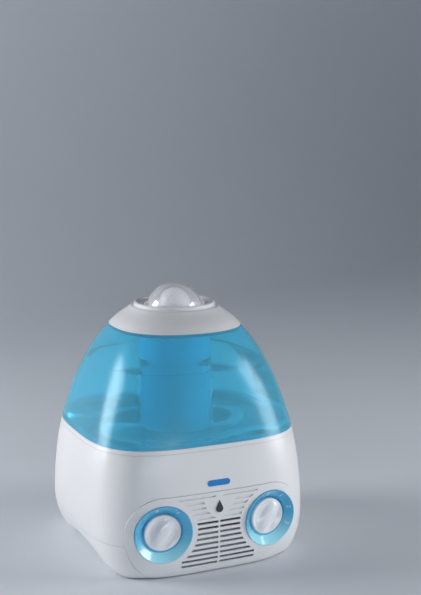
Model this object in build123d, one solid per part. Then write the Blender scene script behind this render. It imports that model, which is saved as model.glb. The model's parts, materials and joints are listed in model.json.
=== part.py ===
from build123d import *
import math
import os

# A free-standing evaporative humidifier with a lift-off water tank and a star projector on top.
# Millimetres, +Z up. The origin is on the floor, midway between the feet. The front faces -Y.

# ---- driving dimensions: outer skin ----
HALF_WIDTH = 144.5  # widest half width, over the lower housing
# height and half width of the skin, joined smoothly
WIDTH_STATIONS = [(60, HALF_WIDTH), (100, 143.5), (140, 139.5), (180, 131.0), (220, 118.3), (255, 103.3),
                  (280, 88.0), (295, 75.0), (305, 63.0), (311, 54.5)]
DEPTH_RATIO = [(0, 0.945), (60, 0.945), (160, 0.965), (290, 1.02), (400, 1.02)]  # depth / width
SQUARENESS = [(0, 4.2), (30, 4.2), (100, 3.7), (160, 3.4), (220, 3.1), (290, 2.3), (400, 2.1)]
SKIN_TOP = 311.0
# bottom rounding: how far it pulls in, and how high it starts, at the sides, corners and front
PULL_SIDE, PULL_CORNER, PULL_FRONT = 58.0, 22.5, 15.0
RISE_SIDE, RISE_CORNER, RISE_FRONT = 67.0, 62.0, 37.0
SECTION_POINTS = 48
LOW_TOP = 78.0  # the skin's sections are closer together below this

# ---- driving dimensions: levels ----
SHELL_BOTTOM = 1.5  # the rubber feet hold the shells this far off the floor
HOUSING_SEAM = 46.0
TRIM_Z = 155.4
RIM_Z = 160.5
TANK_TOP = 287.6
COLLAR_Z = 288.0
DOME_TOP = 340.0
DECK_TOP = 150.0
WALL = 3.0
LINE = 0.3  # parting lines between shells

# ---- driving dimensions: front panel and dials ----
DIAL_X, DIAL_Y, DIAL_Z = 71.1, -134.7, 59.0
DIAL_TURN, DIAL_DIP = 7.6, 2.7  # degrees outwards and downwards
BEZEL_R, BEZEL_BORE_R, BEZEL_DEPTH = 35.6, 25.8, 7.5
KNOB_R, KNOB_RIM, GRIP_TOP = 23.0, -5.5, -1.0  # the knob sits sunk in its bezel
KNOB_FLOOR = -14.0  # level of the bezel's floor behind the knob
SWITCH_BACK = -31.0
SHAFT_R = 3.0
PANEL_R = 45.2  # rounding of the panel's outline about each dial
PANEL_DROP = 57.8  # how far the outline reaches below each dial
PANEL_PROUD, PANEL_BACK = 1.2, 2.2
SLOT_PITCH, SLOT_HEIGHT, SLOT_FIRST, SLOT_END = 6.55, 3.0, 14.2, 48.5
OPEN_SLOTS, BLIND_SLOTS = 9, 4
SLOT_KEEP_R = 43.0  # slots end on this circle about each dial
RIB = 2.2
BLIND_DEPTH = 2.0
# half of the shield's outline: across, up
BOSS_SIDE = [(0, 68.6), (6.2, 73.4), (12.6, 79.8), (17.0, 86.3), (19.3, 92.8), (20.2, 97.6)]
TOP_LINE_Z, TOP_LINE_IN, TOP_LINE_OUT, EMBLEM_Z = 99.2, 5.0, 52.0, 83.0
NAMEPLATE_Z, NAMEPLATE_LONG, NAMEPLATE_HIGH = 115.2, 30.0, 7.5
KNOB_ANGLE = 35.0  # where the grips point, clockwise from the top

# ---- driving dimensions: tank, tower and projector ----
CHIMNEY_R, CHIMNEY_BORE_R = 46.0, 43.5
TOWER_R, TOWER_BORE_R = 40.0, 37.5
COLLAR_BORE_R = 39.5
LENS_RING_R = 38.6
LIP_R = 51.9
TOWER_TOP, LENS_SEAT, LENS_R, LENS_FLANGE_R = 303.0, 311.0, 36.0, 37.0
MASK_R, MASK_RISE = 19.5, 10.5
FILL_Y = 82.0
PAN_INSET = 6.5
PAN_BOTTOM = 151.5

# ---- driving dimensions: inside ----
FAN_Z, FAN_R = 98.0, 43.0
SHROUD_Y, SHROUD_BORE_R = 15.5, 46.5
MOTOR_R, MOTOR_Y0, MOTOR_Y1 = 22.0, -34.0, -1.0
FAN_SHAFT_R = 2.5
FILTER_Y, FILTER_HALF, FILTER_Z0, FILTER_Z1, PLEATS = 84.0, 78.0, 10.0, 116.6, 20
TRAY_FRONT, TRAY_BOTTOM, TRAY_TOP = -95.0, 4.8, 38.0
SCENT_Y, SCENT_Z, SCENT_WIDE, SCENT_HIGH, SCENT_LONG = 46.0, 104.0, 44.0, 18.0, 44.0
REAR_HALF, REAR_Z0, REAR_Z1 = 72.0, 64.0, 136.0
GLAND_X, GLAND_Y, GLAND_Z, GLAND_R = -58.0, 136.4, 54.8, 5.0
SCENT_X = 141.6  # the scent tray's drawer ends here, inside its face
MOTOR_POST_R = 53.0
WELL_R, WELL_FLOOR, POST_TOP = 29.0, 124.0, 135.5
NECK_R, NECK_BOTTOM, CAP_BOTTOM, BRIDGE_Z = 22.0, 141.0, 136.5, 151.0
VALVE_STEM_R = 2.5
FOOT_X, FOOT_Y = 88.0, 86.0
RUNNING = 0.06  # radial clearance of a shaft in its bore

os.makedirs("parts", exist_ok=True)


def save(shape, name):
    export_step(shape, f"parts/{name}.step")


def between(table, z):
    """Straight-line value of a (height, value) table."""
    for (z0, v0), (z1, v1) in zip(table, table[1:]):
        if z <= z1:
            return v0 + (v1 - v0) * (z - z0) / (z1 - z0)
    return table[-1][1]


def ease(t):
    t = min(max(t, 0.0), 1.0)
    return t * t * (3 - 2 * t)


def station_slope(i):
    """Slope of the half width at a station, from the stations beside it."""
    if i == 0:
        return 0.0
    (z0, w0), (z1, w1) = WIDTH_STATIONS[i - 1], WIDTH_STATIONS[min(i + 1, len(WIDTH_STATIONS) - 1)]
    return (w1 - w0) / (z1 - z0)


def half_width(z):
    """Cubic through the stations, and upright below the first."""
    if z <= WIDTH_STATIONS[0][0]:
        return HALF_WIDTH
    i = next((i for i, (top, _) in enumerate(WIDTH_STATIONS) if z <= top), len(WIDTH_STATIONS) - 1)
    (z0, w0), (z1, w1) = WIDTH_STATIONS[i - 1], WIDTH_STATIONS[i]
    step = z1 - z0
    t = (z - z0) / step
    return (w0 * (1 + 2 * t) * (1 - t) ** 2 + w1 * t * t * (3 - 2 * t)
            + step * t * (1 - t) * (station_slope(i - 1) * (1 - t) - station_slope(i) * t))


def radius(angle, z, inset):
    """Distance from the centre line to the skin, at one angle and height."""
    a = half_width(z)
    b = a * between(DEPTH_RATIO, z)
    n = between(SQUARENESS, z)
    c, s = abs(math.cos(angle)), abs(math.sin(angle))
    r = ((c / a) ** n + (s / b) ** n) ** (-1 / n)
    side, front = ease((c - 0.707) / 0.293), ease((s - 0.707) / 0.293)
    pull = PULL_CORNER + (PULL_SIDE - PULL_CORNER) * side + (PULL_FRONT - PULL_CORNER) * front
    rise = RISE_CORNER + (RISE_SIDE - RISE_CORNER) * side + (RISE_FRONT - RISE_CORNER) * front
    t = max(0.0, (rise - z) / rise)
    return r - pull * (1 - math.sqrt(1 - 0.985 * t * t)) - inset


def section(z, inset):
    angles = [2 * math.pi * i / SECTION_POINTS for i in range(SECTION_POINTS + 1)]
    points = [Vector(radius(a, z, inset) * math.cos(a), radius(a, z, inset) * math.sin(a), z)
              for a in angles[:-1]]
    return Wire([Edge.make_spline(points, periodic=True, parameters=angles)])


def skin(inset):
    """Solid inside the whole outer surface, pulled in by inset."""
    low = [LOW_TOP * (1 - math.cos(math.pi / 2 * i / 12)) for i in range(12)]
    high = [LOW_TOP + (SKIN_TOP - LOW_TOP) * i / 18 for i in range(19)]
    return Solid.make_loft([section(z, inset) for z in low + high])


def prism(z0, z1, inset, at):
    """Straight-sided solid with the skin's plan at one height."""
    return extrude(Face(section(at, inset)).moved(Location((0, 0, z0 - at))), z1 - z0, (0, 0, 1))


def slab(z0, z1, half=200.0):
    return Pos(0, 0, (z0 + z1) / 2) * Box(2 * half, 2 * half, z1 - z0)


def disc(r, z0, z1, x=0.0, y=0.0):
    return Pos(x, y, (z0 + z1) / 2) * Cylinder(r, z1 - z0)


def tube(r_out, r_in, z0, z1, x=0.0, y=0.0):
    return disc(r_out, z0, z1, x, y) - disc(r_in, z0 - 1, z1 + 1, x, y)


def turned(points):
    """Solid of revolution about Z from (radius, height) points."""
    return revolve(make_face(Polyline(*[(r, 0, z) for r, z in points], close=True)), Axis.Z)


def rod_y(r, y0, y1, x=0.0, z=0.0):
    return Pos(x, (y0 + y1) / 2, z) * Rot(90, 0, 0) * Cylinder(r, y1 - y0)


def block(x0, x1, y0, y1, z0, z1):
    return Pos((x0 + x1) / 2, (y0 + y1) / 2, (z0 + z1) / 2) * Box(x1 - x0, y1 - y0, z1 - z0)


OUTER = skin(0)
INNER = skin(WALL)


def panel_outline(grow):
    """Outline of the front panel, in the XZ plane: a stadium about the dials, longer below them."""
    outline = SlotOverall(2 * (DIAL_X + PANEL_R + grow), 2 * (PANEL_R + grow))
    foot = Pos(0, -PANEL_DROP / 2) * Rectangle(2 * DIAL_X, PANEL_DROP + 2 * grow)
    foot += [Pos(x, 0) * Ellipse(PANEL_R + grow, PANEL_DROP + grow) for x in (-DIAL_X, DIAL_X)]
    outline += foot & Pos(0, -100) * Rectangle(400, 200)
    return Pos(0, 0, DIAL_Z) * Rot(90, 0, 0) * outline


def panel_prism(grow, y_back=-98.0):
    return extrude(Pos(0, y_back, 0) * panel_outline(grow), 60, (0, -1, 0))


def dial_place(side):
    """Frame of a dial: its Z points out of the front, its Y up."""
    return Pos(side * DIAL_X, DIAL_Y, DIAL_Z) * Rot(0, 0, side * DIAL_TURN) * Rot(90 + DIAL_DIP, 0, 0)


# ---- shells ----
def lower_housing():
    """Tub whose floor runs forward to the back of the front panel."""
    shell = OUTER & slab(SHELL_BOTTOM, HOUSING_SEAM - LINE)
    shell -= INNER & slab(SHELL_BOTTOM + 3, HOUSING_SEAM + 5)
    floor = skin(PANEL_BACK + LINE) & slab(0, SHELL_BOTTOM + 3)
    return shell - (panel_prism(LINE) - floor)


def upper_housing():
    shell = OUTER & slab(HOUSING_SEAM, TRIM_Z - LINE)
    shell -= INNER & slab(HOUSING_SEAM - 5, TRIM_Z + 5)
    shell -= panel_prism(LINE)
    shell -= rear_block(LINE)
    shell -= scent_block(LINE, 120, 160)
    shell -= nameplate_prism() - skin(0.6)
    return shell - rod_y(GLAND_R + 0.1, 110, 160, GLAND_X, GLAND_Z)


def rim_trim():
    return (OUTER & slab(TRIM_Z, RIM_Z)) - prism(TRIM_Z - 1, RIM_Z + 1, PAN_INSET - 1.5, RIM_Z)


def rear_block(grow):
    return block(-REAR_HALF - grow, REAR_HALF + grow, 90, 160, REAR_Z0 - grow, REAR_Z1 + grow)


def scent_block(grow, x0, x1):
    wide, high = SCENT_WIDE / 2 + grow, SCENT_HIGH / 2 + grow
    return block(x0, x1, SCENT_Y - wide, SCENT_Y + wide, SCENT_Z - high, SCENT_Z + high)


def nameplate_prism():
    pill = Pos(0, -120, NAMEPLATE_Z) * Rot(90, 0, 0) * SlotOverall(NAMEPLATE_LONG, NAMEPLATE_HIGH)
    return extrude(pill, 30, (0, -1, 0))


def nameplate_bar():
    return (skin(-0.5) - skin(0.6)) & nameplate_prism()


def tank_deck():
    deck = prism(DECK_TOP - 3, DECK_TOP, WALL + 0.5, DECK_TOP)
    deck -= disc(30, 140, 160) + disc(WELL_R, 140, 160, 0, FILL_Y)
    deck += tube(WELL_R + 2, WELL_R, WELL_FLOOR, DECK_TOP - 1, 0, FILL_Y)
    deck += tube(WELL_R + 1, 4, WELL_FLOOR, WELL_FLOOR + 2, 0, FILL_Y)
    return deck - tower_screw_holes()


def valve_post():
    """Cross-shaped post that lifts the tank's valve while the tank is seated."""
    foot = tube(7, 4, WELL_FLOOR + 2, WELL_FLOOR + 4, 0, FILL_Y)
    fins = block(-5.5, 5.5, FILL_Y - 1, FILL_Y + 1, WELL_FLOOR + 2, POST_TOP)
    fins += block(-1, 1, FILL_Y - 5.5, FILL_Y + 5.5, WELL_FLOOR + 2, POST_TOP)
    return foot + fins


# ---- front panel ----
def slot_boxes(z, high, inner):
    return [block(x0, x1, -160, -110, z - high / 2, z + high / 2)
            for x0, x1 in ((inner, SLOT_END), (-SLOT_END, -inner))]


def boss_prism(grow):
    """Shield below the top line of the grille that carries the emblem."""
    right = [Vector(x + grow * min(x, 1), z - grow) for x, z in BOSS_SIDE]
    left = [Vector(-p.X, p.Y) for p in right]
    outline = make_face([Spline(*right), Line(right[-1], left[-1]), Spline(*left)])
    return extrude(Pos(0, -110, 0) * Rot(90, 0, 0) * outline, 50, (0, -1, 0))


def top_lines():
    """Shallow groove each side of the middle, over the grille."""
    return [block(x0, x1, -160, -110, TOP_LINE_Z - 0.9, TOP_LINE_Z + 0.9)
            for x0, x1 in ((TOP_LINE_IN, TOP_LINE_OUT), (-TOP_LINE_OUT, -TOP_LINE_IN))]


def front_panel():
    plate = (skin(-PANEL_PROUD) - skin(PANEL_BACK)) & slab(SHELL_BOTTOM, 200) & panel_prism(0)
    keep = [rod_y(SLOT_KEEP_R, -160, -110, side * DIAL_X, DIAL_Z) for side in (-1, 1)]
    levels = [SLOT_FIRST + SLOT_PITCH * i for i in range(OPEN_SLOTS + BLIND_SLOTS)]
    slots = [b for z in levels[:OPEN_SLOTS] for b in slot_boxes(z, SLOT_HEIGHT, RIB / 2)]
    grooves = [b for z in levels[OPEN_SLOTS:] for b in slot_boxes(z, SLOT_HEIGHT, RIB / 2)]
    opened = Part() + slots - keep - boss_prism(0)
    closed = (Part() + grooves - keep - boss_prism(0.4)) + top_lines()
    plate -= opened
    plate -= closed - skin(BLIND_DEPTH - PANEL_PROUD)
    plate -= emblem_droplet()
    return plate - [dial_place(side) * Cylinder(BEZEL_R + 0.4, 60) for side in (-1, 1)]


def emblem_droplet():
    """Plain drop shape, half sunk in the boss."""
    drop = Circle(4.6) + make_face(Polyline((-4.1, 2.1), (0, 10.5), (4.1, 2.1), close=True))
    face = half_width(EMBLEM_Z) * between(DEPTH_RATIO, EMBLEM_Z) + PANEL_PROUD
    return extrude(Pos(0, -face + 0.9, EMBLEM_Z) * Rot(90, 0, 0) * drop, 1.9, (0, -1, 0))


# ---- dials ----
def bezel():
    """Dished ring with a floor behind the knob."""
    thick = 1.6
    return turned([(BEZEL_R, 0.5), (BEZEL_R - 0.8, 0.5), (BEZEL_BORE_R + 0.6, -BEZEL_DEPTH),
                   (BEZEL_BORE_R, -BEZEL_DEPTH), (BEZEL_BORE_R, KNOB_FLOOR), (SHAFT_R + 0.6, KNOB_FLOOR),
                   (SHAFT_R + 0.6, KNOB_FLOOR - thick), (BEZEL_BORE_R + thick, KNOB_FLOOR - thick),
                   (BEZEL_BORE_R + thick, -BEZEL_DEPTH - 1), (BEZEL_R, -2.6)])


def knob():
    """Dished disc with a grip across it."""
    body = turned([(0, KNOB_RIM - 1.4), (12, KNOB_RIM - 1.1), (19.5, KNOB_RIM - 0.4), (21.6, KNOB_RIM),
                   (22.6, KNOB_RIM - 0.8), (KNOB_R, KNOB_RIM - 2.4), (KNOB_R, KNOB_FLOOR + 1),
                   (SHAFT_R, KNOB_FLOOR + 1), (SHAFT_R, KNOB_FLOOR + 5), (0, KNOB_FLOOR + 5)])
    root = KNOB_RIM - 3
    grip = Pos(0, 0, root) * Rot(0, 0, 90 - KNOB_ANGLE) * extrude(SlotOverall(38, 11), GRIP_TOP - root)
    grip = fillet(grip.edges().group_by(Axis.Z)[-1], 2.4)
    return body + grip


def knob_shaft():
    back, front = SWITCH_BACK + 4, KNOB_FLOOR + 5
    return Pos(0, 0, (back + front) / 2) * Cylinder(SHAFT_R, front - back)


def rotary_switch():
    back, front = SWITCH_BACK, KNOB_FLOOR - 1.6
    body = Pos(0, 0, (back + front) / 2) * Box(26, 26, front - back)
    body -= Pos(0, 0, back + 13) * Cylinder(SHAFT_R + RUNNING, 20)
    lugs = [Pos(x, 0, back - 3) * Box(2.4, 5, 6) for x in (-8, 0, 8)]
    return body + lugs


# ---- water, wick and fan ----
def water_tray():
    tray = prism(TRAY_BOTTOM, TRAY_TOP, WALL + 1, TRAY_BOTTOM) & block(-200, 200, TRAY_FRONT, 200, 0, 60)
    hollow = prism(TRAY_BOTTOM + 2.4, TRAY_TOP + 5, WALL + 3.4, TRAY_BOTTOM)
    return tray - (hollow & block(-200, 200, TRAY_FRONT + 2.4, 200, 0, 60))


def wick_filter():
    """Pleated paper slab that stands in the water."""
    pitch = 2 * FILTER_HALF / PLEATS
    front, back = [], []
    for i in range(PLEATS + 1):
        x = -FILTER_HALF + pitch * i
        y = -11 if i % 2 else 7
        front.append((x, FILTER_Y + y))
        back.append((x, FILTER_Y + y + 4))
    sheet = make_face(Polyline(*front, *back[::-1], close=True))
    return Pos(0, 0, FILTER_Z0) * extrude(sheet, FILTER_Z1 - FILTER_Z0)


def filter_frame():
    half, y0, y1 = FILTER_HALF + 3, FILTER_Y - 14, FILTER_Y + 14
    frame = block(-half, half, y0, y1, FILTER_Z0 - 2.4, FILTER_Z1 + 2.4)
    frame -= block(-half + 2.4, half - 2.4, y0 - 5, y1 + 5, FILTER_Z0 - 0.1, FILTER_Z1 + 0.1)
    bars = [block(x - 1, x + 1, y, y + 1.6, FILTER_Z0 - 1, FILTER_Z1 + 1)
            for x in (-40, 0, 40) for y in (y0, y1 - 1.6)]
    return frame + bars


def post_places():
    return [(MOTOR_POST_R * math.cos(math.radians(a)), FAN_Z + MOTOR_POST_R * math.sin(math.radians(a)))
            for a in (45, 135, 225, 315)]


def fan_shroud():
    plate = block(-128, 128, SHROUD_Y - 1.5, SHROUD_Y + 1.5, HOUSING_SEAM + 0.6, DECK_TOP - 3.2)
    plate += rod_y(SHROUD_BORE_R + 2, SHROUD_Y - 9, SHROUD_Y + 1, 0, FAN_Z)
    plate -= rod_y(SHROUD_BORE_R, SHROUD_Y - 20, SHROUD_Y + 20, 0, FAN_Z)
    return plate - [rod_y(1.6, SHROUD_Y - 20, SHROUD_Y + 20, x, z) for x, z in post_places()]


def fan_rotor():
    hub = rod_y(14, 2, 24, 0, FAN_Z)
    blade = Pos(28, 13, 0) * Rot(35, 0, 0) * Box(34, 1.8, 22)
    blades = [Pos(0, 0, FAN_Z) * Rot(0, 360 / 7 * i, 0) * blade for i in range(7)]
    return ((hub + blades) & rod_y(FAN_R, 1, 25, 0, FAN_Z)) - rod_y(FAN_SHAFT_R, 0, 20, 0, FAN_Z)


def fan_shaft():
    return rod_y(FAN_SHAFT_R, MOTOR_Y0 + 4, 20, 0, FAN_Z)


def fan_motor():
    can = rod_y(MOTOR_R, MOTOR_Y0, MOTOR_Y1 - 3, 0, FAN_Z) + rod_y(8, MOTOR_Y1 - 3, MOTOR_Y1, 0, FAN_Z)
    vents = [Pos(0, MOTOR_Y0 + 2, FAN_Z) * Rot(0, 60 * i, 0) * Pos(14, 0, 0) * Box(7, 6, 3.2)
             for i in range(6)]
    return can - rod_y(FAN_SHAFT_R + RUNNING, MOTOR_Y0 + 3, 5, 0, FAN_Z) - vents


def motor_bracket():
    ring = rod_y(MOTOR_R + 3, -14, -8, 0, FAN_Z)
    arms = [Pos(0, -12.5, FAN_Z) * Rot(0, a, 0) * Pos(37, 0, 0) * Box(32, 3, 7)
            for a in (45, 135, 225, 315)]
    posts = [rod_y(3.4, -14, SHROUD_Y - 1.5, x, z) for x, z in post_places()]
    bracket = ring + arms + posts - rod_y(MOTOR_R, -20, 0, 0, FAN_Z)
    return bracket - [rod_y(1.5, 5, SHROUD_Y, x, z) for x, z in post_places()]


def motor_screws():
    back = SHROUD_Y + 1.5
    return Compound([rod_y(1.5, 6, back, x, z) + rod_y(3, back, back + 2, x, z) for x, z in post_places()])


def rear_grille():
    grille = (OUTER - INNER) & rear_block(0)
    rows = [z for z in range(72, 133, 7)]
    columns = [(-66, -34), (-31, -1.5), (1.5, 31), (34, 66)]
    return grille - [block(x0, x1, 90, 160, z - 1.8, z + 1.8) for z in rows for x0, x1 in columns]


def cord_gland():
    body = rod_y(GLAND_R, GLAND_Y - 8, GLAND_Y, GLAND_X, GLAND_Z)
    body += rod_y(GLAND_R + 2, GLAND_Y, GLAND_Y + 2, GLAND_X, GLAND_Z)
    body += rod_y(GLAND_R + 1.4, GLAND_Y - 8, GLAND_Y - 5, GLAND_X, GLAND_Z)
    return body - rod_y(2.8, GLAND_Y - 10, GLAND_Y + 5, GLAND_X, GLAND_Z)


def transformer():
    core = block(58, 98, -72, -38, 114, DECK_TOP - 3.1)
    return core + block(62, 94, -78, -32, 119, 142)


def circuit_board():
    board = block(-50, 30, -78, -76.4, 100, DECK_TOP - 3.1)
    parts = [block(x, x + 14, -76.4, -66, 108, 130) for x in (-42, -20, 4)]
    return board + parts


# ---- scent tray ----
def scent_tray():
    face = (OUTER - skin(2.4)) & scent_block(0, 120, 160)
    wide, high = SCENT_WIDE / 2 - 2, SCENT_HIGH / 2
    x1 = SCENT_X
    drawer = block(x1 - SCENT_LONG, x1, SCENT_Y - wide, SCENT_Y + wide, SCENT_Z - high + 1, SCENT_Z)
    drawer -= block(x1 - SCENT_LONG + 2, x1 - 6, SCENT_Y - wide + 2, SCENT_Y + wide - 2,
                    SCENT_Z - high + 2.6, SCENT_Z + 5)
    finger = Pos(SCENT_X + 6.2, SCENT_Y, SCENT_Z + 3.5) * Rot(90, 0, 0) * Cylinder(4.2, 18)
    return (face + drawer) - finger


def scent_pad():
    wide, x1 = SCENT_WIDE / 2 - 4.5, SCENT_X - 6.5
    return block(x1 - SCENT_LONG + 9, x1, SCENT_Y - wide, SCENT_Y + wide,
                 SCENT_Z - SCENT_HIGH / 2 + 2.7, SCENT_Z - 2)


def scent_guide():
    """Sleeve that the scent tray slides in, with a vented roof."""
    x0, x1 = SCENT_X - SCENT_LONG - 3, SCENT_X - 8
    wide, high = SCENT_WIDE / 2 - 1.4, SCENT_HIGH / 2
    sleeve = block(x0, x1, SCENT_Y - wide - 2, SCENT_Y + wide + 2, SCENT_Z - high - 3, SCENT_Z + 4)
    sleeve -= block(x0 + 2, x1 + 5, SCENT_Y - wide, SCENT_Y + wide, SCENT_Z - high + 0.6, SCENT_Z + 2)
    sleeve -= [block(x, x + 4, SCENT_Y - 15, SCENT_Y + 15, SCENT_Z, SCENT_Z + 10)
               for x in range(int(x0) + 6, int(x1) - 6, 8)]
    return sleeve - block(x0 + 8, x1 - 6, SCENT_Y - 14, SCENT_Y + 14, SCENT_Z - high - 1.4, SCENT_Z - high + 3)


def heater_plate():
    x0, x1 = SCENT_X - SCENT_LONG - 3, SCENT_X - 8
    high = SCENT_HIGH / 2
    return block(x0 + 8, x1 - 6, SCENT_Y - 14, SCENT_Y + 14, SCENT_Z - high - 1.4, SCENT_Z - high + 0.6)


# ---- tower and projector ----
def tower_screw_places():
    return [(34 * math.cos(math.radians(a)), 34 * math.sin(math.radians(a))) for a in (45, 135, 225, 315)]


def tower_screw_holes():
    return Part() + [disc(1.6, DECK_TOP - 10, DECK_TOP + 10, x, y) for x, y in tower_screw_places()]


def projector_tower():
    tower = turned([(30.5, DECK_TOP), (TOWER_R + 2.8, DECK_TOP), (TOWER_R + 2.8, DECK_TOP + 3),
                    (TOWER_R, DECK_TOP + 3), (TOWER_R, TOWER_TOP), (9.2, TOWER_TOP), (9.2, TOWER_TOP - 3),
                    (TOWER_BORE_R, TOWER_TOP - 3), (TOWER_BORE_R, DECK_TOP + 3), (30.5, DECK_TOP + 3)])
    return tower - tower_screw_holes()


def tower_screws():
    top = DECK_TOP + 3
    return Compound([disc(1.5, DECK_TOP - 6, top, x, y) + disc(3, top, top + 2, x, y)
                     for x, y in tower_screw_places()])


def lamp_socket():
    socket = disc(9, TOWER_TOP - 14, TOWER_TOP + 2) + disc(12, TOWER_TOP - 6, TOWER_TOP - 3.1)
    return socket - disc(3.6, TOWER_TOP - 8, TOWER_TOP + 5)


def lamp_bulb():
    return disc(3.5, TOWER_TOP - 7, TOWER_TOP + 6) + Pos(0, 0, TOWER_TOP + 10) * Sphere(6)


def star_mask():
    """Inner dome with a hole for each projected star."""
    centre = TOWER_TOP + MASK_RISE
    dome = Pos(0, 0, centre) * (Sphere(MASK_R) - Sphere(MASK_R - 1.6)) & slab(centre, 400)
    dome += tube(MASK_R, MASK_R - 1.6, TOWER_TOP, centre + 0.2)
    dome += tube(MASK_R + 3, MASK_R - 1.6, TOWER_TOP, TOWER_TOP + 1.6)
    holes = []
    for tilt, count in ((18, 5), (36, 9), (53, 12), (69, 14)):
        for i in range(count):
            star = 0.75 if i % 3 else 1.1
            place = Pos(0, 0, centre) * Rot(0, 0, 360 / count * i + tilt) * Rot(0, tilt, 0)
            holes.append(place * Pos(0, 0, MASK_R) * Cylinder(star, 8))
    return dome - holes


def projector_lens():
    """Clear dome whose top is the highest point of the whole thing."""
    base = LENS_SEAT
    rise = DOME_TOP - base
    sphere_r = (LENS_R ** 2 + rise ** 2) / (2 * rise)
    centre = Pos(0, 0, DOME_TOP - sphere_r)
    dome = centre * (Sphere(sphere_r) - Sphere(sphere_r - 2)) & slab(base, 400)
    return dome + tube(LENS_FLANGE_R, LENS_R - 1.9, base, base + 1.6)


def lens_ring():
    """Bayonet ring that holds the dome, notched at each side for the fingers."""
    ring = tube(LENS_RING_R, LENS_R - 1, TOWER_TOP + 0.3, LENS_SEAT - 0.1)
    ring += tube(LENS_RING_R, LENS_FLANGE_R + 0.1, TOWER_TOP + 0.3, LENS_SEAT + 2.4)
    return ring - [block(x - 3, x + 3, -4.5, 4.5, LENS_SEAT + 0.4, LENS_SEAT + 9)
                   for x in (-LENS_RING_R, LENS_RING_R)]


# ---- tank ----
def tank_shell():
    shell = OUTER & slab(RIM_Z + LINE, TANK_TOP)
    shell -= INNER & slab(RIM_Z + 3.5, TANK_TOP - 3.6)
    shell -= prism(RIM_Z - 1, RIM_Z + 4, PAN_INSET - 0.1, RIM_Z)
    return shell - disc(CHIMNEY_R + 0.05, 150, 300)


def tank_pan():
    pan = prism(PAN_BOTTOM, RIM_Z + 3, PAN_INSET, RIM_Z)
    pan -= prism(PAN_BOTTOM + 3, RIM_Z + 9, PAN_INSET + 2.5, RIM_Z)
    pan -= disc(CHIMNEY_R + 0.05, 140, 170)
    pan += disc(NECK_R, NECK_BOTTOM, PAN_BOTTOM + 1, 0, FILL_Y)
    return pan - disc(NECK_R - 2.5, 130, 170, 0, FILL_Y)


def tank_chimney():
    return tube(CHIMNEY_R, CHIMNEY_BORE_R, PAN_BOTTOM, TANK_TOP)


def tank_collar():
    """White cap of the tank, with a rolled lip around the projector."""
    floor = SKIN_TOP - 0.3
    collar = OUTER & slab(COLLAR_Z, floor)
    collar -= skin(3.8) & slab(COLLAR_Z - 5, floor - 4)
    lip = [(44.5, floor - 1), (48.4, 315.8), (49.6, 316.5), (50.8, 316.3), (LIP_R, 315.2), (LIP_R, 314.2),
           (50.7, 313.0), (51.4, 311.8), (53.6, floor - 0.2), (53, floor - 1)]
    return collar + turned(lip) - disc(COLLAR_BORE_R, 280, 330)


def fill_cap():
    cap = disc(NECK_R + 3, CAP_BOTTOM, PAN_BOTTOM - 1, 0, FILL_Y)
    cap -= disc(NECK_R + 0.4, CAP_BOTTOM + 3, PAN_BOTTOM + 5, 0, FILL_Y)
    cap -= disc(VALVE_STEM_R + 1.5, 120, 160, 0, FILL_Y)
    grips = [Pos(0, FILL_Y, (CAP_BOTTOM + PAN_BOTTOM - 1) / 2) * Rot(0, 0, 15 * i) * Pos(NECK_R + 3, 0, 0)
             * Box(1.4, 1.6, PAN_BOTTOM - 1 - CAP_BOTTOM) for i in range(24)]
    return cap + grips


def cap_gasket():
    return tube(NECK_R, NECK_R - 2.4, CAP_BOTTOM + 3.05, NECK_BOTTOM - 0.05, 0, FILL_Y)


def valve_plunger():
    stem = disc(VALVE_STEM_R, POST_TOP + LINE, CAP_BOTTOM + 5, 0, FILL_Y)
    head = disc(8, CAP_BOTTOM + 4.6, CAP_BOTTOM + 6.6, 0, FILL_Y)
    return stem + head + disc(2, CAP_BOTTOM + 6, CAP_BOTTOM + 9, 0, FILL_Y)


def valve_spring():
    height = BRIDGE_Z - CAP_BOTTOM - 6.6 - 1.4
    coil = Helix(pitch=height / 4, height=height, radius=3.6)
    wire = sweep(Plane(origin=coil @ 0, z_dir=coil % 0) * Circle(0.5), path=coil)
    return Pos(0, FILL_Y, CAP_BOTTOM + 6.6 + 0.7) * wire


def valve_bridge():
    """Bar across the filler neck that the valve spring pushes against."""
    bar = block(-NECK_R + 2.4, NECK_R - 2.4, FILL_Y - 3, FILL_Y + 3, BRIDGE_Z, BRIDGE_Z + 2)
    return bar & disc(NECK_R - 2.5, BRIDGE_Z - 1, BRIDGE_Z + 4, 0, FILL_Y)


def rubber_feet():
    return Compound([disc(9, 0, SHELL_BOTTOM, x, y) for x in (-FOOT_X, FOOT_X) for y in (-FOOT_Y, FOOT_Y)])


NODES = [lower_housing, upper_housing, rim_trim, nameplate_bar, tank_deck, valve_post, front_panel,
         emblem_droplet, water_tray, wick_filter, filter_frame, fan_shroud, fan_rotor, fan_shaft,
         fan_motor, motor_bracket, motor_screws, rear_grille, cord_gland, transformer, circuit_board,
         scent_tray, scent_pad, scent_guide, heater_plate, projector_tower, tower_screws, lamp_socket,
         lamp_bulb, star_mask, projector_lens, lens_ring, tank_shell, tank_pan, tank_chimney,
         tank_collar, fill_cap, cap_gasket, valve_plunger, valve_spring, valve_bridge, rubber_feet]
for make in NODES:
    save(make(), make.__name__)

for side, dial in ((-1, "light"), (1, "fan")):
    place = dial_place(side)
    for make, name in ((bezel, "bezel"), (knob, "knob"), (knob_shaft, "knob_shaft"), (rotary_switch, "switch")):
        save(place * make(), f"{dial}_{name}")
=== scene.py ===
import json
import math

import bmesh
import bpy
from mathutils import Euler, Matrix, Vector


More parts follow.
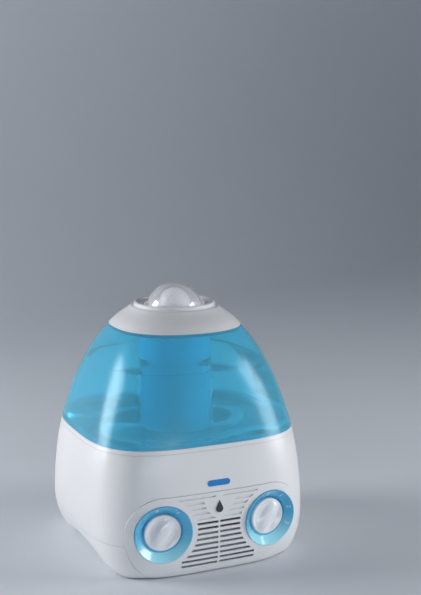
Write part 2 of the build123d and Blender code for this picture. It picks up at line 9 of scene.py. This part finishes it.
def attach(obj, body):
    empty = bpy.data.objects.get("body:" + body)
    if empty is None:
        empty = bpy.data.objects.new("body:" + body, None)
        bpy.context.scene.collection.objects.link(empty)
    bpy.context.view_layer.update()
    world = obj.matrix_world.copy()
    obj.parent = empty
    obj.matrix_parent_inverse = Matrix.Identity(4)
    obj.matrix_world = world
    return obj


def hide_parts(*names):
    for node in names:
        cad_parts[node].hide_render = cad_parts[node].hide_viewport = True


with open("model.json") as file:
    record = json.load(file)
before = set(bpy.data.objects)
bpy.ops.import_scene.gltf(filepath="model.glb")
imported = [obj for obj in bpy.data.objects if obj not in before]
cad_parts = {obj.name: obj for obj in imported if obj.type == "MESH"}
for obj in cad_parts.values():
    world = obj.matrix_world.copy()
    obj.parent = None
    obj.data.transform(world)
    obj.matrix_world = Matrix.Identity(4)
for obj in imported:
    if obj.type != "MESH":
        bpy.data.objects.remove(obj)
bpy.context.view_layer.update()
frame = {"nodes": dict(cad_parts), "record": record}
nodes = frame["nodes"]
MM = 0.001

# ---- sizes repeated from the CAD, in millimetres ----
# The tank's skin: half its width at each height, how square its plan is, and its depth
# over its width, which grows with the height.
WIDTH_STATIONS = [(100, 143.5), (140, 139.5), (180, 131.0), (220, 118.3), (255, 103.3), (280, 88.0)]
SQUARENESS = [(100, 3.7), (160, 3.4), (220, 3.1), (290, 2.3)]
DEPTH_RATIO, DEPTH_GAIN, DEPTH_FROM, DEPTH_RUN = 0.965, 0.055, 160, 130
CHIMNEY_R, PAN_FLOOR, PAN_WALL, TANK_FLOOR = 46.0, 154.6, 9.0, 164.2
# The dials: centre of the right one, its turn and dip, and its ring's two edges as
# (radius, height over the centre).
DIAL = Vector((71.1, -134.7, 59.0))
DIAL_TURN, DIAL_DIP = 7.6, 2.7
BEZEL_OUT, BEZEL_IN = (34.8, 0.5), (26.4, -7.5)
KNOB_R, KNOB_RIM, KNOB_BOTTOM = 23.0, -5.5, -13.0
MASK_R, MASK_CENTRE = 19.5, 313.5

# ---- sizes of what is added here, in millimetres ----
WATER_LEVEL = 243.5
WATER_GAP = 3.6             # from the outside of the skin to the water's side
CHIMNEY_GAP = 0.6
PAN_STEP = 0.4
SKIN_LOWEST = 160.5         # below this the water keeps to the skin's plan here
CREEP = [(0, 0.9), (1, 0.3), (3, 0)]            # (distance from the wall, rise)
# the two radii of the black cap behind the star mask, which is painted shade
SHADE_CAP_SKINS = [MASK_R - 1.7, MASK_R - 2.2]
KNOB_ANGLE = 35.0
KNOB_FACE_R = 21.8
KNOB_EDGE = [(22.3, -0.25), (22.7, -0.8), (KNOB_R, -1.9), (KNOB_R, -4.5),
             (KNOB_R, KNOB_BOTTOM - KNOB_RIM)]  # (radius, height over the rim)
FADE_R = 21.3               # the grip and the scoops run out here
GRIP_HEIGHT, GRIP_WIDTH, GRIP_LENGTH = 3.4, 8.6, 18.0
SCOOP_DEPTH, SCOOP_OUT, SCOOP_WIDTH = 2.4, 14.5, 5.0
NOTCH_DEPTH, NOTCH_OUT, NOTCH_R, NOTCH_ANGLE = 1.1, 19.6, 1.5, 78.0
NUMERAL_SIZE, NUMERAL_RISE, NUMERAL_WEIGHT = 7.6, 0.25, 0.12
DIAL_MARKS = [(-1, "0", -15), (-1, "1", 35),    # (side, figure, degrees clockwise)
              (1, "0", -5), (1, "1", 35), (1, "2", 75), (1, "3", 115)]

SEGMENTS = 144              # round the water and the knobs
VIEW_AZIMUTH = -22.7        # degrees from straight ahead


def add(name, data):
    thing = bpy.data.objects.new(name, data)
    bpy.context.scene.collection.objects.link(thing)
    return thing


def facing(place, target):
    """Rotation that points a camera or a lamp at a target."""
    return (Vector(target) - Vector(place)).to_track_quat("-Z", "Y").to_euler()


# ---- camera ----
def make_camera():
    """Looks down a little from the front left."""
    azimuth, distance, height = math.radians(VIEW_AZIMUTH), 1.460, 0.566
    data = bpy.data.cameras.new("camera")
    data.lens = 69.86
    data.clip_start, data.clip_end = 0.05, 40
    camera = add("camera", data)
    camera.location = (distance * math.sin(azimuth), -distance * math.cos(azimuth), height)
    camera.rotation_euler = facing(camera.location, (0.0424, -0.019, 0.3201))
    bpy.context.scene.camera = camera


# ---- materials ----
def principled(name, colour, roughness, **sockets):
    """Material whose constants sit on the shader's own sockets."""
    material = bpy.data.materials.new(name)
    material.use_nodes = True
    shader = material.node_tree.nodes["Principled BSDF"]
    shader.inputs["Base Color"].default_value = (*colour, 1)
    shader.inputs["Roughness"].default_value = roughness
    for socket, value in sockets.items():
        shader.inputs[socket.replace("_", " ")].default_value = value
    return material


def noise(tree, scale, detail, stretch=(1, 1, 1)):
    """Noise texture in the object's own space."""
    place = tree.nodes.new("ShaderNodeTexCoord")
    mapping = tree.nodes.new("ShaderNodeMapping")
    mapping.inputs["Scale"].default_value = stretch
    texture = tree.nodes.new("ShaderNodeTexNoise")
    texture.inputs["Scale"].default_value = scale
    texture.inputs["Detail"].default_value = detail
    tree.links.new(place.outputs["Object"], mapping.inputs["Vector"])
    tree.links.new(mapping.outputs["Vector"], texture.inputs["Vector"])
    return texture.outputs["Fac"]


def rise(tree, low, high):
    """0 below one height and 1 above another, both in metres."""
    place = tree.nodes.new("ShaderNodeTexCoord")
    split = tree.nodes.new("ShaderNodeSeparateXYZ")
    spread = tree.nodes.new("ShaderNodeMapRange")
    spread.interpolation_type = "SMOOTHSTEP"
    spread.inputs["From Min"].default_value = low
    spread.inputs["From Max"].default_value = high
    tree.links.new(place.outputs["Object"], split.inputs["Vector"])
    tree.links.new(split.outputs["Z"], spread.inputs["Value"])
    return spread.outputs["Result"]


def mix_colour(material, other, share):
    """Mixes the base colour with another one, by a node's output."""
    tree = material.node_tree
    shader = tree.nodes["Principled BSDF"]
    mix = tree.nodes.new("ShaderNodeMix")
    mix.data_type = "RGBA"
    mix.inputs["A"].default_value = shader.inputs["Base Color"].default_value
    mix.inputs["B"].default_value = (*other, 1)
    tree.links.new(share, mix.inputs["Factor"])
    tree.links.new(mix.outputs["Result"], shader.inputs["Base Color"])


def vary_colour(material, other, scale, detail=4):
    """Drifts the base colour towards another one in soft patches."""
    mix_colour(material, other, noise(material.node_tree, scale, detail))


def vary_roughness(material, low, high, scale, stretch=(1, 1, 1)):
    tree = material.node_tree
    spread = tree.nodes.new("ShaderNodeMapRange")
    spread.inputs["From Min"].default_value = 0.3
    spread.inputs["From Max"].default_value = 0.7
    spread.inputs["To Min"].default_value = low
    spread.inputs["To Max"].default_value = high
    tree.links.new(noise(tree, scale, 5, stretch), spread.inputs["Value"])
    tree.links.new(spread.outputs["Result"], tree.nodes["Principled BSDF"].inputs["Roughness"])


def grain(material, scale, depth, detail=2, stretch=(1, 1, 1)):
    """Fine relief; depth in metres."""
    tree = material.node_tree
    bump = tree.nodes.new("ShaderNodeBump")
    bump.inputs["Strength"].default_value = 1.0
    bump.inputs["Distance"].default_value = depth
    tree.links.new(noise(tree, scale, detail, stretch), bump.inputs["Height"])
    tree.links.new(bump.outputs["Normal"], tree.nodes["Principled BSDF"].inputs["Normal"])


def moulded(name, colour, other, roughness, fade=None, even=False, **sockets):
    """Moulded plastic: soft colour drift, uneven gloss and a faint ripple.

    With a painted-light fade, the colour runs from one to the other between two heights instead of
    drifting.
    An even plastic has the drift alone.
    """
    material = principled(name, colour, roughness, **sockets)
    if fade:
        mix_colour(material, other, rise(material.node_tree, *fade))
    else:
        vary_colour(material, other, 9)
    if not even:
        vary_roughness(material, roughness - 0.04, roughness + 0.05, 26)
        grain(material, 90, 1.0e-5, 1)
    return material


# Each plastic's colour, the colour it drifts or fades to, its roughness, and the rest.
PLASTICS = {
    "white_shell": ((0.80, 0.80, 0.81), (0.77, 0.775, 0.79), 0.34,
                    dict(Coat_Weight=0.25, Coat_Roughness=0.2)),
    "inner_plastic": ((0.76, 0.78, 0.80), (0.70, 0.72, 0.74), 0.52, {}),
    # The tank's blue has a faint painted glow, standing in for light running through the plastic.
    "tank_blue": ((0.28, 0.85, 1.0), (0.22, 0.78, 0.98), 0.24,
                  dict(Transmission_Weight=0.84, IOR=1.04, Coat_Weight=0.6, Coat_Roughness=0.22,
                       Emission_Color=(0.22, 0.66, 0.92, 1), Emission_Strength=0.032, even=True)),
    # Painted light: lighter towards the bottom of the ring, standing in for more light running
    # through it there, and a painted glow.
    "bezel_blue": ((0.48, 0.92, 1.0), (0.06, 0.44, 0.72), 0.22,
                   dict(Transmission_Weight=0.15, Coat_Weight=0.8, Coat_Roughness=0.14,
                        Emission_Color=(0.15, 0.65, 1.0, 1), Emission_Strength=0.07,
                        fade=(0.026, 0.062))),
    "knob_pearl": ((0.88, 0.88, 0.90), (0.82, 0.83, 0.87), 0.24,
                   dict(Coat_Weight=0.8, Coat_Roughness=0.10)),
    "emblem_grey": ((0.03, 0.035, 0.045), (0.05, 0.055, 0.065), 0.3, {}),
    "nameplate_blue": ((0.004, 0.22, 0.62), (0.003, 0.19, 0.56), 0.28, dict(Coat_Weight=0.6)),
    "lens_clear": ((0.99, 0.99, 1.0), (0.96, 0.96, 0.98), 0.05,
                   dict(Transmission_Weight=0.80, IOR=1.12, Coat_Weight=1.0, Coat_Roughness=0.05)),
    # The star mask has a painted glow that brightens the dome.
    "mask_grey": ((0.90, 0.90, 0.92), (0.85, 0.85, 0.88), 0.35,
                  dict(Emission_Color=(0.9, 0.9, 1.0, 1), Emission_Strength=0.2)),
    "bulb_glass": ((0.95, 0.93, 0.86), (0.90, 0.88, 0.80), 0.25, dict(Transmission_Weight=0.6)),
    "black_plastic": ((0.02, 0.02, 0.022), (0.03, 0.03, 0.033), 0.48, {}),
    "rubber_grey": ((0.055, 0.055, 0.06), (0.08, 0.08, 0.085), 0.75, {}),
    "board_green": ((0.015, 0.12, 0.05), (0.02, 0.16, 0.07), 0.38, {}),
}


def make_materials():
    made = {name: moulded(name, colour, other, roughness, **rest)
            for name, (colour, other, roughness, rest) in PLASTICS.items()}
    steel = principled("steel", (0.56, 0.57, 0.58), 0.3, Metallic=1.0)
    vary_roughness(steel, 0.22, 0.42, 60, stretch=(1, 12, 1))
    grain(steel, 700, 1.2e-5, stretch=(1, 0.08, 1))
    paper = principled("wick_paper", (0.80, 0.77, 0.66), 0.9)
    vary_colour(paper, (0.68, 0.65, 0.54), 40, 8)
    grain(paper, 600, 1.5e-4, 8)
    felt = principled("pad_felt", (0.78, 0.79, 0.72), 0.95, Sheen_Weight=0.4)
    vary_colour(felt, (0.68, 0.69, 0.62), 120, 6)
    grain(felt, 1500, 2e-4, 6)
    made.update(steel=steel, wick_paper=paper, pad_felt=felt)
    return made


MATERIALS = make_materials()


def paint_nodes():
    """Gives each CAD node its slot's material; the chimney's blue is milkier than the tank's and
    has a faint painted glow.
    """
    for row in frame["record"]["subparts"]:
        mesh = nodes[row["node"]].data
        mesh.materials.clear()
        mesh.materials.append(MATERIALS[row["material_slot"]])
    # Milky blue with a faint painted glow.
    milky_painted_glow = moulded("chimney_blue", (0.24, 0.82, 1.0), (0.17, 0.76, 0.97), 0.30, even=True,
                    Emission_Color=(0.08, 0.60, 0.90, 1), Emission_Strength=0.02,
                    Transmission_Weight=0.6, IOR=1.04)
    nodes["tank_chimney"].data.materials[0] = milky_painted_glow


# ---- mesh helpers ----
def close_up(mesh, weld=0):
    """Joins points nearer than weld and turns the faces outwards."""
    build = bmesh.new()
    build.from_mesh(mesh)
    if weld:
        bmesh.ops.remove_doubles(build, verts=build.verts, dist=weld)
    bmesh.ops.recalc_face_normals(build, faces=build.faces)
    build.to_mesh(mesh)
    build.free()


def smooth(mesh):
    for polygon in mesh.polygons:
        polygon.use_smooth = True


def piece(name, vertices, faces, material, body, slot):
    """Smooth mesh object that rides on a body; vertices in metres."""
    mesh = bpy.data.meshes.new(name)
    mesh.from_pydata(vertices, [], faces)
    close_up(mesh)
    smooth(mesh)
    mesh.materials.append(material)
    thing = add(name, mesh)
    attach(thing, body)
    return thing


def around(profile, angle):
    """Profile of (radius, height) points in millimetres, stood up at an angle."""
    return [Vector((r * math.cos(angle), r * math.sin(angle), z)) * MM for r, z in profile]


def looped(profiles):
    """Faces of a closed ring of closed profiles, each with the same number of points."""
    count, size = len(profiles), len(profiles[0])
    vertices = [p for profile in profiles for p in profile]
    faces = []
    for i in range(count):
        here, there = i * size, (i + 1) % count * size
        for j in range(size):
            k = (j + 1) % size
            faces.append((here + j, there + j, there + k, here + k))
    return vertices, faces


# ---- water ----
def between(table, z):
    for (z0, v0), (z1, v1) in zip(table, table[1:]):
        if z <= z1:
            return v0 + (v1 - v0) * (z - z0) / (z1 - z0)
    return table[-1][1]


def skin_radius(angle, z, inset):
    """Distance from the centre line to the tank's skin, less an inset."""
    i = next(i for i, (top, _) in enumerate(WIDTH_STATIONS) if z <= top)
    (z0, w0), (z1, w1) = WIDTH_STATIONS[i - 1], WIDTH_STATIONS[i]
    slopes = []
    for k in (i - 1, i):
        (za, wa), (zb, wb) = WIDTH_STATIONS[k - 1], WIDTH_STATIONS[k + 1]
        slopes.append((wb - wa) / (zb - za))
    step, t = z1 - z0, (z - z0) / (z1 - z0)
    a = (w0 * (1 + 2 * t) * (1 - t) ** 2 + w1 * t * t * (3 - 2 * t)
         + step * t * (1 - t) * (slopes[0] * (1 - t) - slopes[1] * t))
    b = a * (DEPTH_RATIO + DEPTH_GAIN * (z - DEPTH_FROM) / DEPTH_RUN)
    n = between(SQUARENESS, z)
    c, s = abs(math.cos(angle)), abs(math.sin(angle))
    return ((c / a) ** n + (s / b) ** n) ** (-1 / n) - inset


def make_water():
    """Water in the tank, with a level top that creeps up the walls a little."""
    material = principled("water", (0.95, 0.99, 1.0), 0.08, Transmission_Weight=1.0, IOR=1.07)
    vary_colour(material, (0.91, 0.97, 1.0), 12)
    rows, depth, inner = 14, WATER_LEVEL - TANK_FLOOR, CHIMNEY_R + CHIMNEY_GAP
    side = [(PAN_FLOOR, PAN_WALL), (TANK_FLOOR - PAN_STEP, PAN_WALL), (TANK_FLOOR, WATER_GAP)]
    side += [(TANK_FLOOR + depth * i / rows, WATER_GAP) for i in range(1, rows)]
    profiles = []
    for k in range(SEGMENTS):
        angle = 2 * math.pi * k / SEGMENTS
        outer = [(skin_radius(angle, max(z, SKIN_LOWEST), inset), z) for z, inset in side]
        wall = skin_radius(angle, WATER_LEVEL, WATER_GAP)
        top = [(wall - out, WATER_LEVEL + up) for out, up in CREEP]
        top += [(wall + (inner - wall) * i / 6, WATER_LEVEL) for i in range(1, 6)]
        top += [(inner + out, WATER_LEVEL + up) for out, up in reversed(CREEP)]
        down = [(inner, WATER_LEVEL - 20), (inner, TANK_FLOOR), (inner, PAN_FLOOR)]
        profiles.append(around(outer + top + down, angle))
    piece("tank_water", *looped(profiles), material, "tank", "tank_blue")


# ---- projector ----
def make_mask_shade_cap():
    """Painted shade: a black cap behind the perforated dome, standing in for the shade inside it,
    so that its holes read dark.
    """
    rows, turns = 20, 72
    outside, inside = (
        [(r * math.cos(a), MASK_CENTRE + r * math.sin(a))
         for a in (math.radians(4 + 82 * i / rows) for i in range(rows + 1))]
        for r in SHADE_CAP_SKINS)
    profile = outside + inside[::-1]
    profiles = [around(profile, 2 * math.pi * k / turns) for k in range(turns)]
    piece("mask_shade_cap", *looped(profiles), MATERIALS["black_plastic"], "base", "black_plastic")


# ---- dials ----
def dial_matrix(side):
    """Frame of a dial: Z out of the front, Y up."""
    place = Matrix.Translation(Vector((side * DIAL.x, DIAL.y, DIAL.z)) * MM)
    turn = Euler((0, 0, math.radians(side * DIAL_TURN))).to_matrix().to_4x4()
    dip = Euler((math.radians(90 + DIAL_DIP), 0, 0)).to_matrix().to_4x4()
    return place @ turn @ dip @ Matrix.Scale(MM, 4)


def knob_height(x, y):
    """Knob's face over its rim: a broad grip between two scoops, with a notch at one side."""
    turn, notch = math.radians(KNOB_ANGLE), math.radians(NOTCH_ANGLE)
    across = x * math.cos(turn) - y * math.sin(turn)
    along = x * math.sin(turn) + y * math.cos(turn)
    inside = max(0.0, 1 - (math.hypot(x, y) / FADE_R) ** 2)
    oval = (across / GRIP_WIDTH) ** 2 + (along / GRIP_LENGTH) ** 2
    grip = GRIP_HEIGHT * math.exp(-oval ** 2) * min(1, 3.0 * inside)
    ditch = math.exp(-((abs(across) - SCOOP_OUT) / SCOOP_WIDTH) ** 2) * min(1, 2.2 * inside)
    away = math.hypot(x - NOTCH_OUT * math.sin(notch), y - NOTCH_OUT * math.cos(notch))
    return grip - SCOOP_DEPTH * ditch - NOTCH_DEPTH * math.exp(-(away / NOTCH_R) ** 2)


def make_knob(name, side, body, node):
    """Turned knob with a closed back, built ring by ring from the middle of its face."""
    place, rings = dial_matrix(side), 48
    loops = [(KNOB_FACE_R * i / rings, None) for i in range(1, rings + 1)] + KNOB_EDGE
    vertices = [place @ Vector((0, 0, KNOB_RIM + knob_height(0, 0)))]
    for r, drop in loops:
        for k in range(SEGMENTS):
            angle = 2 * math.pi * k / SEGMENTS
            x, y = r * math.cos(angle), r * math.sin(angle)
            z = KNOB_RIM + (knob_height(x, y) if drop is None else drop)
            vertices.append(place @ Vector((x, y, z)))
    faces = [(0, 1 + k, 1 + (k + 1) % SEGMENTS) for k in range(SEGMENTS)]
    for i in range(len(loops) - 1):
        a, b = 1 + i * SEGMENTS, 1 + (i + 1) * SEGMENTS
        for k in range(SEGMENTS):
            n = (k + 1) % SEGMENTS
            faces.append((a + k, b + k, b + n, a + n))
    last = 1 + (len(loops) - 1) * SEGMENTS
    faces.append(tuple(range(last, last + SEGMENTS)))
    knob = piece(name, vertices, faces, MATERIALS["knob_pearl"], body, "knob_pearl")
    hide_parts(node)


def make_numeral(name, text, side, clockwise):
    """Raised figure on the dished ring, reading outwards from the knob."""
    curve = bpy.data.curves.new(name, "FONT")
    curve.body = text
    curve.size, curve.extrude, curve.offset = NUMERAL_SIZE, NUMERAL_RISE, NUMERAL_WEIGHT
    curve.align_x, curve.align_y = "CENTER", "CENTER"
    letter = add(name, curve)
    bpy.context.view_layer.update()
    mesh = bpy.data.meshes.new_from_object(letter)
    bpy.data.objects.remove(letter)
    (r1, h1), (r0, h0) = BEZEL_OUT, BEZEL_IN
    slope = math.atan2(h1 - h0, r1 - r0)
    middle = Vector((0, (r0 + r1) / 2, (h0 + h1) / 2 + 0.1))
    turn = Euler((0, 0, math.radians(-clockwise))).to_matrix().to_4x4()
    lean = Matrix.Translation(middle) @ Euler((slope, 0, 0)).to_matrix().to_4x4()
    mesh.transform(dial_matrix(side) @ turn @ lean)
    close_up(mesh, weld=1e-6)
    mesh.materials.clear()
    mesh.materials.append(MATERIALS["white_shell"])
    numeral = add(name, mesh)
    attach(numeral, "base")


# ---- stage and light ----
def make_stage():
    """Pale paper floor that curves up behind the object."""
    paper = principled("floor_paper", (0.76, 0.79, 0.84), 0.6)
    vary_colour(paper, (0.73, 0.76, 0.81), 3)
    vary_roughness(paper, 0.5, 0.7, 8)
    front, back, half_width, top, radius, steps = -3.0, 2.2, 4.2, 2.4, 1.0, 16
    profile = [(front, 0.0), (back - radius, 0.0)]
    for i in range(1, steps + 1):
        a = math.pi / 2 * i / steps
        profile.append((back - radius + radius * math.sin(a), radius - radius * math.cos(a)))
    profile.append((back, top))
    vertices = [(x, y, z) for y, z in profile for x in (-half_width, half_width)]
    faces = [(2 * i, 2 * i + 1, 2 * i + 3, 2 * i + 2) for i in range(len(profile) - 1)]
    mesh = bpy.data.meshes.new("floor")
    mesh.from_pydata(vertices, [], faces)
    smooth(mesh)
    mesh.materials.append(paper)
    floor = add("floor", mesh)
    floor.rotation_euler = (0, 0, math.radians(-VIEW_AZIMUTH))


def area_light(name, place, target, size, power, colour=(1, 1, 1)):
    data = bpy.data.lights.new(name, "AREA")
    data.shape = "RECTANGLE"
    data.size, data.size_y = size
    data.energy = power
    data.color = colour
    lamp = add(name, data)
    lamp.location = place
    lamp.rotation_euler = facing(place, target)


def make_light():
    """Dim sky, a softbox behind the left side, one before the right side, and a low fill."""
    world = bpy.data.worlds.new("studio")
    world.use_nodes = True
    tree = world.node_tree
    place = tree.nodes.new("ShaderNodeTexCoord")
    split = tree.nodes.new("ShaderNodeSeparateXYZ")
    ramp = tree.nodes.new("ShaderNodeValToRGB")
    ramp.color_ramp.elements[0].color = (0.22, 0.245, 0.28, 1)
    ramp.color_ramp.elements[1].color = (0.11, 0.12, 0.135, 1)
    tree.links.new(place.outputs["Generated"], split.inputs["Vector"])
    tree.links.new(split.outputs["Z"], ramp.inputs["Fac"])
    tree.links.new(ramp.outputs["Color"], tree.nodes["Background"].inputs["Color"])
    bpy.context.scene.world = world
    middle = (0, 0, 0.15)
    area_light("left_softbox", (-1.66, 0.74, 0.70), middle, (0.8, 1.1), 27)
    area_light("right_softbox", (1.62, -0.90, 0.60), middle, (0.8, 1.1), 20)
    area_light("low_fill", (-0.35, -1.9, 0.16), (0, 0, 0.06), (1.4, 0.28), 6, (0.9, 0.96, 1.0))
    bpy.context.scene.view_settings.view_transform = "Standard"
    bpy.context.scene.view_settings.look = "None"


make_camera()
make_stage()
make_light()
paint_nodes()
make_water()
make_mask_shade_cap()
make_knob("light_knob_cap", -1, "light_dial", "light_knob")
make_knob("fan_knob_cap", 1, "fan_dial", "fan_knob")
for mark, (side, text, clockwise) in enumerate(DIAL_MARKS):
    make_numeral(f"dial_mark_{mark}", text, side, clockwise)
